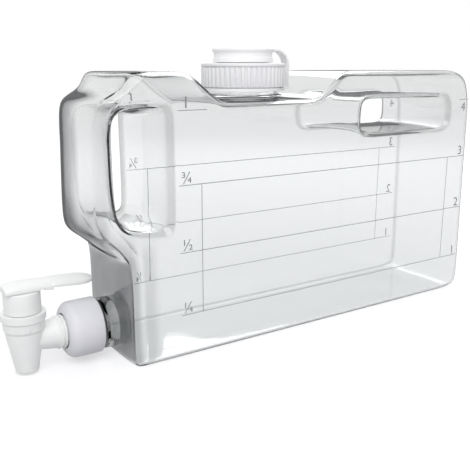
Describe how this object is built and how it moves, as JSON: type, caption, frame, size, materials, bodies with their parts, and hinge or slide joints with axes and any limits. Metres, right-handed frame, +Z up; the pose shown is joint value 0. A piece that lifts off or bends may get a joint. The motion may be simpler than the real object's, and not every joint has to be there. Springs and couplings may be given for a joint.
{
  "type": "fridge water jug with tap",
  "caption": "Slim clear drinks jug with moulded handle holes, a ribbed screw cap with a snap pour lid, and a push-lever tap low at the front.",
  "frame": {"origin": "on the table under the middle of the whole jug, tap included", "axes": "+Z up, +X away from the tap towards the rear handle, +Y across the width"},
  "size_m": [0.3978, 0.082, 0.2087],
  "materials": {
    "clear_plastic": "clear moulded, glossy",
    "cap_white": "satin moulded",
    "lid_white": "satin moulded",
    "collar_white": "satin moulded",
    "tap_white": "slightly translucent, semi gloss",
    "silicone": "soft matt",
    "spring_steel": "drawn wire"
  },
  "bodies": {
    "jug": {"jug_body": "clear_plastic", "tap_gasket": "silicone", "tap_body": "tap_white", "bonnet_seal": "silicone"},
    "cap": {"cap_ring": "cap_white", "cap_gasket": "silicone", "lid_strap": "lid_white"},
    "lid": {"pour_lid": "lid_white"},
    "collar": {"tap_collar_nut": "collar_white"},
    "bonnet": {"tap_bonnet": "tap_white", "tap_spring": "spring_steel"},
    "lever": {"tap_lever": "tap_white", "lever_pin": "tap_white"},
    "stem": {"valve_stem": "tap_white", "valve_plug": "silicone"}
  },
  "joints": [
    {"name": "cap_turn", "type": "hinge", "parent": "jug", "child": "cap", "pos_m": [-0.0124, 0, 0.19], "axis": [0, 0, 1], "range_deg": [0, 450]},
    {"name": "lid_open", "type": "hinge", "parent": "cap", "child": "lid", "pos_m": [0.0257, 0, 0.2024], "axis": [0, 1, 0], "range_deg": [0, 105]},
    {"name": "collar_turn", "type": "hinge", "parent": "jug", "child": "collar", "pos_m": [-0.145, 0, 0.0226], "axis": [-1, 0, 0], "range_deg": [0, 540]},
    {"name": "bonnet_turn", "type": "hinge", "parent": "jug", "child": "bonnet", "pos_m": [-0.1845, 0, 0.045], "axis": [0, 0, 1], "range_deg": [0, 360]},
    {"name": "lever_press", "type": "hinge", "parent": "bonnet", "child": "lever", "pos_m": [-0.176, 0, 0.0565], "axis": [0, 1, 0], "range_deg": [0, 14]},
    {"name": "stem_lift", "type": "slide", "parent": "bonnet", "child": "stem", "axis": [0, 0, 1], "range_m": [0, 0.00198], "stiffness_N_per_m": 900, "springref_m": -0.006, "deforming": ["tap_spring"]}
  ],
  "couplings": [
    {"joint": "lever_press", "follows": "stem_lift", "rad_per_m": 123.41}
  ]
}
